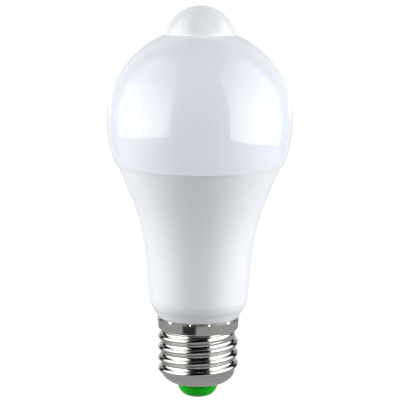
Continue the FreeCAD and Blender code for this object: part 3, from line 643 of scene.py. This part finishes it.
def greenPolyester():
    # Green filled polyester, pressed into the cap: a deep gloss colour, a little paler where it thins
    material, tree, surface, place = startMaterial("greenPolyester", {
        "IOR": 1.56,
        "Subsurface Weight": 0.15,
        "Subsurface Radius": (0.1, 1.0, 0.2),
        "Subsurface Scale": 0.6 * mm,
        "Specular IOR Level": 0.15,
    })
    tint(tree, surface, patches(tree, place, 2.5), "#02a80c", "#08b218")
    gloss(tree, surface, patches(tree, place, 1.2), 0.18, 0.3)
    relief(tree, surface, patches(tree, place, 0.5, 1.0), 0.003)
    return material


def solderedBrass():
    # Brass disc with its solder drawn over it: dull silver with warm patches
    material, tree, surface, place = startMaterial("solderedBrass", {"Metallic": 1.0})
    tint(tree, surface, patches(tree, place, 1.6), "#b9b4a8", "#c6a869")
    gloss(tree, surface, patches(tree, place, 0.8), 0.25, 0.45)
    relief(tree, surface, patches(tree, place, 0.7), 0.02)
    return material


def buildFoot():
    size = insulator
    bowlGap = screwCap["sheet"] + size["gap"]
    mouth = screwCap["mouthRadius"]
    mouthHeight = screwCap["bowlTop"] - screwCap["bowlDepth"] * beside(1, mouth / threadRoot)
    seatRadius = threadRoot * size["seatShare"] - bowlGap
    seatHeight = screwCap["bowlTop"] - screwCap["bowlDepth"] * beside(1, size["seatShare"]) + bowlGap
    stemHole = centreContact["stemRadius"] + size["gap"]
    foot = ringedPiece("greenInsulator", outlineRings([
        (stemHole, size["footHeight"]),
        (size["footRadius"], size["footHeight"], size["bulge"]),
        (mouth, mouthHeight - size["gap"]),
        (mouth - bowlGap, mouthHeight - size["gap"]),
        (mouth - bowlGap, mouthHeight + bowlGap),
        (seatRadius, seatHeight),
        (seatRadius, seatHeight + size["thick"]),
        (stemHole, seatHeight + size["thick"]),
    ]), size["spokes"], "base_insulator")
    roundEdges(foot, size["brokenEdge"])
    foot.data.materials.append(greenPolyester())

    contact = centreContact
    top = size["footHeight"] - contact["seatGap"]
    stemTop = size["footHeight"] + contact["stemHeight"]
    disc = ringedPiece("centreContact", outlineRings([
        (0, 0),
        (contact["flatRadius"], 0, contact["bend"]),
        (contact["radius"], top - size["gap"]),
        (contact["radius"], top),
        (contact["stemRadius"], top),
        (contact["stemRadius"], stemTop),
        (contact["bore"], stemTop),
        (contact["bore"], contact["sheet"]),
        (0, contact["sheet"]),
    ]), contact["spokes"], "centre_contact")
    disc.data.materials.append(solderedBrass())


buildFoot()
print("Stage 2: the outer pieces are modelled")

# Inner pieces keep their CAD shapes, and get the finish of their slot

# Two colours, the size of their patches in mm, how those are stretched, the two roughnesses, the
# relief in mm and the shader's other values
innerFinishes = {
    # Aluminium drawn to a cup: pale grey metal, with soft upright streaks from the die
    "drawn_aluminium": ("#d5d7d9", "#c3c6c9", 0.6, (1, 1, 0.06), 0.25, 0.4, 0.004, {"Metallic": 1.0}),
    # Aluminium board under printed white mask: an even white with a slight sheen
    "white_mask": ("#f3f3ee", "#ebebe5", 4.0, (1, 1, 1), 0.35, 0.45, 0.004, {"IOR": 1.5}),
    # White tub filled with yellow phosphor gel: matt pale yellow, deeper where the gel is thick
    "led_tub": ("#f2e48e", "#ead36a", 0.8, (1, 1, 1), 0.4, 0.55, 0.01, {"IOR": 1.41}),
    # White ABS, moulded: satin, with faint flow patches
    "white_moulding": ("#e9e9e7", "#e1e2e0", 7.0, (1, 1, 1), 0.38, 0.5, 0.005, {"IOR": 1.53}),
    # Zinc plated steel: bluish grey metal with fine turned lines
    "screw_steel": ("#b9bcc2", "#a5a8ae", 0.25, (0.1, 0.1, 1), 0.22, 0.38, 0.004, {"Metallic": 1.0}),
    # Coated silicon window: a dark, glossy, faintly purple plate
    "filter_window": ("#2a2330", "#1d1a24", 1.5, (1, 1, 1), 0.05, 0.1, 0.001,
                      {"IOR": 1.9, "Coat Weight": 0.3}),
    # Water-clear epoxy, cast: glossy, and pale where it is thick
    "clear_epoxy": ("#eef3f6", "#dfe8ee", 2.0, (1, 1, 1), 0.05, 0.12, 0.002, {"IOR": 1.55}),
    # PVC sleeve, shrunk on: dark blue gloss with faint lines round it
    "capacitor_sleeve": ("#10131d", "#1a2030", 0.5, (0.1, 0.1, 1), 0.15, 0.28, 0.006, {"IOR": 1.54}),
    # Epoxy glass laminate under green mask: the 0.4 mm weave shows faintly
    "board_laminate": ("#1d6b33", "#175a2a", 0.4, (1, 1, 1), 0.3, 0.45, 0.008, {"IOR": 1.55}),
    # Filled black epoxy, transfer moulded: matt, with a fine 0.1 mm tooth drawn at 0.2 mm
    "black_epoxy": ("#1c1c1e", "#262628", 0.2, (1, 1, 1), 0.5, 0.65, 0.008, {"IOR": 1.56}),
    # Sintered ferrite: charcoal grey with a ceramic grain
    "ferrite": ("#2b2b2d", "#363639", 0.3, (1, 1, 1), 0.45, 0.6, 0.012, {"IOR": 1.7}),
    # Enamelled copper wire, wound: 0.25 mm turns lie side by side round the core
    "copper_winding": ("#b9682d", "#8f4719", 0.25, (0.05, 0.05, 1), 0.18, 0.32, 0.05,
                       {"Metallic": 0.8, "Coat Weight": 0.5}),
    # Polyester film capacitor in a moulded box: glossy amber
    "film_box": ("#c99a2a", "#bb8a1c", 2.5, (1, 1, 1), 0.2, 0.3, 0.004, {"IOR": 1.56}),
    # Dipped epoxy coat: blue, with the slow waves of a dip
    "varistor_coat": ("#173f8f", "#12357c", 1.8, (1, 1, 1), 0.25, 0.4, 0.05, {"IOR": 1.55}),
    # Baked silicone cement: chalky green with a fine grain
    "resistor_coat": ("#4f9073", "#468467", 0.3, (1, 1, 1), 0.6, 0.75, 0.015, {"IOR": 1.43}),
    # Tinned copper wire: bright grey with drawn lines along it
    "tinned_wire": ("#c9cacb", "#b7b9bb", 0.2, (1, 1, 0.05), 0.25, 0.4, 0.003, {"Metallic": 1.0}),
    # Silicone insulation, extruded: satin, with faint lines along the lead
    "red_sleeve": ("#c3231c", "#b31d17", 0.3, (1, 1, 0.08), 0.4, 0.5, 0.004, {"IOR": 1.41}),
    "black_sleeve": ("#232324", "#1b1b1c", 0.3, (1, 1, 0.08), 0.4, 0.5, 0.004, {"IOR": 1.41}),
    "yellow_sleeve": ("#ddc02c", "#d0b222", 0.3, (1, 1, 0.08), 0.4, 0.5, 0.004, {"IOR": 1.41}),
}


def innerMaterial(name, finish):
    oneCode, otherCode, size, stretch, lowest, highest, depth, values = finish
    material, tree, surface, place = startMaterial(name, values)
    pattern = patches(tree, stretched(tree, place, stretch), size, 2.0)
    tint(tree, surface, pattern, oneCode, otherCode)
    gloss(tree, surface, pattern, lowest, highest)
    relief(tree, surface, pattern, depth)
    return material


def finishInside():
    made = {}
    for row in frame["record"]["subparts"]:
        name = row["material_slot"]
        if name not in innerFinishes:
            continue
        if name not in made:
            made[name] = innerMaterial(name, innerFinishes[name])
        for holder in frame["nodes"][row["node"]].material_slots:
            holder.material = made[name]


finishInside()
print("Stage 3: the inner pieces have their finishes")

# Camera, lamps, cards and floor

studio = {
    "cameraAway": 512.8,
    "cameraRise": 9.35,         # degrees above level
    "cameraAim": 65.6,
    "cameraAside": 0.26,
    "cameraRoll": 0.45,         # degrees
    "lens": 141.7,
    "leftTurn": -80.0,          # degrees from the camera's side
    "rightTurn": 75.0,
    "lampAway": 620.0,
    "lampWide": 600.0,
    "lampTall": 620.0,
    "lampMiddle": 290.0,
    "lampPower": 7.0,
    "boxWide": 1080.0,          # the lamps' faces, as the bulb's bright surfaces see them
    "boxTurn": 78.0,
    "leftFoot": -64.0,
    "rightFoot": -112.0,
    "boxTop": 1200.0,
    "boxHot": 60.0,             # their hot spot: its height, its place towards the front, its reaches
    "boxHotFront": -330.0,
    "boxHotDeep": 10000.0,
    "boxHotWide": 810.0,
    "boxHotTall": 840.0,
    "boxEdge": 1.0,             # how bright the faces are at their edge and in their middle
    "boxMiddle": 3.7,
    "lowerHeight": -450.0,
    "ceilingHeight": 1900.0,
    "ambient": 0.06,
    "lowerGrey": 0.4,           # what the cap's underside reflects
    "floorSide": 16000.0,
    "floorDrop": 0.05,
    "paperWhite": 1.15,         # the paper as the camera sees it, its share there, and in bright surfaces
    "paperShare": 0.86,
    "paperMirrored": 0.1,
    "ceilingSide": 2600.0,
    # The turn, distance, width, foot and top of each black card
    "blackCards": {
        "frontCard": (2, 1050, 1480, -270, 1900),
        "lowFrontCard": (-26, 1000, 720, -450, -270),
        "leftCard": (-131, 800, 330, -180, 1500),
        "rightCard": (131, 800, 330, -180, 1500),
    },
    "backCard": (180, 900, 1500, 100, 1500),    # grey, for the globe's upper rim
}


def buildCamera():
    size = studio
    rise = math.radians(size["cameraRise"])
    camera = bpy.data.objects.new("camera", bpy.data.cameras.new("camera"))
    bpy.context.scene.collection.objects.link(camera)
    camera.data.lens = size["lens"]
    away, aim = size["cameraAway"] * mm, size["cameraAim"] * mm
    place = Vector((size["cameraAside"] * mm, -away * math.cos(rise), aim + away * math.sin(rise)))
    roll = Matrix.Rotation(math.radians(size["cameraRoll"]), 4, "Z")
    tilt = Matrix.Rotation(math.pi / 2 - rise, 4, "X") @ roll
    camera.matrix_world = Matrix.Translation(place) @ tilt
    camera.data.clip_start = 0.05
    bpy.context.scene.camera = camera


def aroundBulb(turn, away, height):
    # A place at a turn from the camera's side
    angle = math.radians(turn)
    return Vector((math.sin(angle) * away, -math.cos(angle) * away, height)) * mm


def buildLamp(name, turn):
    # A tall soft lamp, facing the bulb
    size = studio
    data = bpy.data.lights.new(name, "AREA")
    data.shape = "RECTANGLE"
    data.size, data.size_y = size["lampWide"] * mm, size["lampTall"] * mm
    data.energy = size["lampPower"]
    lamp = bpy.data.objects.new(name, data)
    bpy.context.scene.collection.objects.link(lamp)
    lamp.location = aroundBulb(turn, size["lampAway"], size["lampMiddle"])
    lamp.rotation_euler = (math.pi / 2, 0, math.radians(turn))
    lamp.visible_camera = False
    lamp.visible_glossy = False


def addCard(name, corners, material):
    # A card that the bulb's bright surfaces reflect. The camera doesn't see it, and it casts no shadow
    mesh = bpy.data.meshes.new(name)
    mesh.from_pydata(corners, [], [(0, 1, 2, 3)])
    card = bpy.data.objects.new(name, mesh)
    bpy.context.scene.collection.objects.link(card)
    card.visible_camera = False
    card.visible_shadow = False
    card.visible_diffuse = False
    mesh.materials.append(material)
    return card


def buildCard(name, turn, away, wide, low, high, material):
    half = wide / 2 * mm
    corners = [(-half, 0, low * mm), (half, 0, low * mm), (half, 0, high * mm), (-half, 0, high * mm)]
    card = addCard(name, corners, material)
    card.location = aroundBulb(turn, away, 0)
    card.rotation_euler = (0, 0, math.radians(turn))


def squareCorners(side, height):
    half = side / 2 * mm
    return [(-half, -half, height * mm), (half, -half, height * mm), (half, half, height * mm),
            (-half, half, height * mm)]


def greyCard():
    # Grey board: what the bulb's underside and the globe's upper rim reflect
    material, tree, surface, place = startMaterial("greyBoard", {
        "Roughness": 1.0,
        "Specular IOR Level": 0.0,
        "Emission Color": (1, 1, 1, 1),
        "Emission Strength": studio["lowerGrey"],
    })
    tint(tree, surface, patches(tree, place, 200.0), "#242526", "#202122")
    return material


def lampFace():
    # White diffusion cloth over a lamp: hottest towards the front, and dimmer towards its frame
    size = studio
    material, tree, surface = startMaterial("diffusionCloth", {
        "Base Color": (0, 0, 0, 1),
        "Specular IOR Level": 0.0,
        "Emission Color": (1, 1, 1, 1),
    })[:3]
    spot = (0, size["boxHotFront"] * mm, size["boxHot"] * mm)
    reach = (size["boxHotDeep"] * mm, size["boxHotWide"] * mm, size["boxHotTall"] * mm)
    around = addNode(tree, "ShaderNodeNewGeometry").outputs["Position"]
    fitted = addNode(tree, "ShaderNodeMapping", {"vector_type": "TEXTURE"},
                     {"Location": spot, "Scale": reach}, {"Vector": around})
    middle = addNode(tree, "ShaderNodeTexGradient", {"gradient_type": "SPHERICAL"},
                     links={"Vector": fitted.outputs["Vector"]})
    glow = addNode(tree, "ShaderNodeMapRange", {"interpolation_type": "SMOOTHSTEP"},
                   {"To Min": size["boxEdge"], "To Max": size["boxMiddle"]},
                   {"Value": middle.outputs["Fac"]})
    tree.links.new(glow.outputs["Result"], surface.inputs["Emission Strength"])
    return material


def blackVelvet():
    # Black velvet on board: what the lamps don't reach in a studio
    material, tree, surface, place = startMaterial("blackVelvet", {
        "Roughness": 1.0,
        "Specular IOR Level": 0.0,
    })
    tint(tree, surface, patches(tree, place, 2.0), "#0c0c0d", "#131314")
    return material


def paperFloor():
    # Matt white paper, which the camera sees as the background's white, with the bulb's faint shadow
    material, tree, surface, place = startMaterial("mattPaper", {
        "Roughness": 0.9,
        "Specular IOR Level": 0.2,
    })
    tint(tree, surface, patches(tree, place, 30.0), "#bcbcbc", "#b8b8b8")
    path = addNode(tree, "ShaderNodeLightPath")
    seen = addNode(tree, "ShaderNodeMath", {"operation": "MAXIMUM"},
                   links={0: path.outputs["Is Camera Ray"], 1: path.outputs["Is Transmission Ray"]})
    mirrored = addNode(tree, "ShaderNodeMath", {"operation": "MULTIPLY"}, {1: studio["paperMirrored"]},
                       {0: path.outputs["Is Glossy Ray"]})
    either = addNode(tree, "ShaderNodeMath", {"operation": "MAXIMUM"},
                     links={0: seen.outputs[0], 1: mirrored.outputs[0]})
    share = addNode(tree, "ShaderNodeMath", {"operation": "MULTIPLY"}, {1: studio["paperShare"]},
                    {0: either.outputs[0]})
    white = addNode(tree, "ShaderNodeEmission",
                    values={"Color": (1, 1, 1, 1), "Strength": studio["paperWhite"]})
    blend = addNode(tree, "ShaderNodeMixShader",
                    links={0: share.outputs[0], 1: surface.outputs[0], 2: white.outputs[0]})
    tree.links.new(blend.outputs[0], tree.nodes["Material Output"].inputs["Surface"])
    return material


def buildWorld():
    # The bulb is lit by a plain grey room, and the camera, reflections and clear parts see it white
    world = bpy.data.worlds.new("studio")
    bpy.context.scene.world = world
    world.use_nodes = True
    tree = world.node_tree
    room = tree.nodes["Background"]
    room.inputs["Color"].default_value = (1, 1, 1, 1)
    room.inputs["Strength"].default_value = studio["ambient"]
    path = addNode(tree, "ShaderNodeLightPath")
    seen = addNode(tree, "ShaderNodeMath", {"operation": "MAXIMUM"},
                   links={0: path.outputs["Is Camera Ray"], 1: path.outputs["Is Glossy Ray"]})
    either = addNode(tree, "ShaderNodeMath", {"operation": "MAXIMUM"},
                     links={0: seen.outputs[0], 1: path.outputs["Is Transmission Ray"]})
    white = addNode(tree, "ShaderNodeBackground", values={"Color": (1, 1, 1, 1), "Strength": 1.0})
    blend = addNode(tree, "ShaderNodeMixShader",
                    links={0: either.outputs[0], 1: room.outputs[0], 2: white.outputs[0]})
    tree.links.new(blend.outputs[0], tree.nodes["World Output"].inputs["Surface"])


def buildFloor():
    mesh = bpy.data.meshes.new("floor")
    mesh.from_pydata(squareCorners(studio["floorSide"], -studio["floorDrop"]), [], [(0, 1, 2, 3)])
    floor = bpy.data.objects.new("floor", mesh)
    bpy.context.scene.collection.objects.link(floor)
    # The bulb's bright surfaces look past the paper, as they do at a table's edge
    floor.visible_glossy = False
    mesh.materials.append(paperFloor())


buildCamera()
buildLamp("leftLamp", studio["leftTurn"])
buildLamp("rightLamp", studio["rightTurn"])
velvet, grey, face = blackVelvet(), greyCard(), lampFace()
for name, place in studio["blackCards"].items():
    buildCard(name, *place, velvet)
buildCard("backCard", *studio["backCard"], grey)
addCard("ceilingCard", squareCorners(studio["ceilingSide"], studio["ceilingHeight"]), velvet)
addCard("lowerCard", squareCorners(studio["floorSide"], studio["lowerHeight"]), grey)
away, wide, top = studio["lampAway"], studio["boxWide"], studio["boxTop"]
buildCard("leftLampFace", -studio["boxTurn"], away, wide, studio["leftFoot"], top, face)
buildCard("rightLampFace", studio["boxTurn"], away, wide, studio["rightFoot"], top, face)
buildWorld()
buildFloor()
bpy.context.scene.view_settings.view_transform = "Standard"
print("Stage 4: the studio is set")
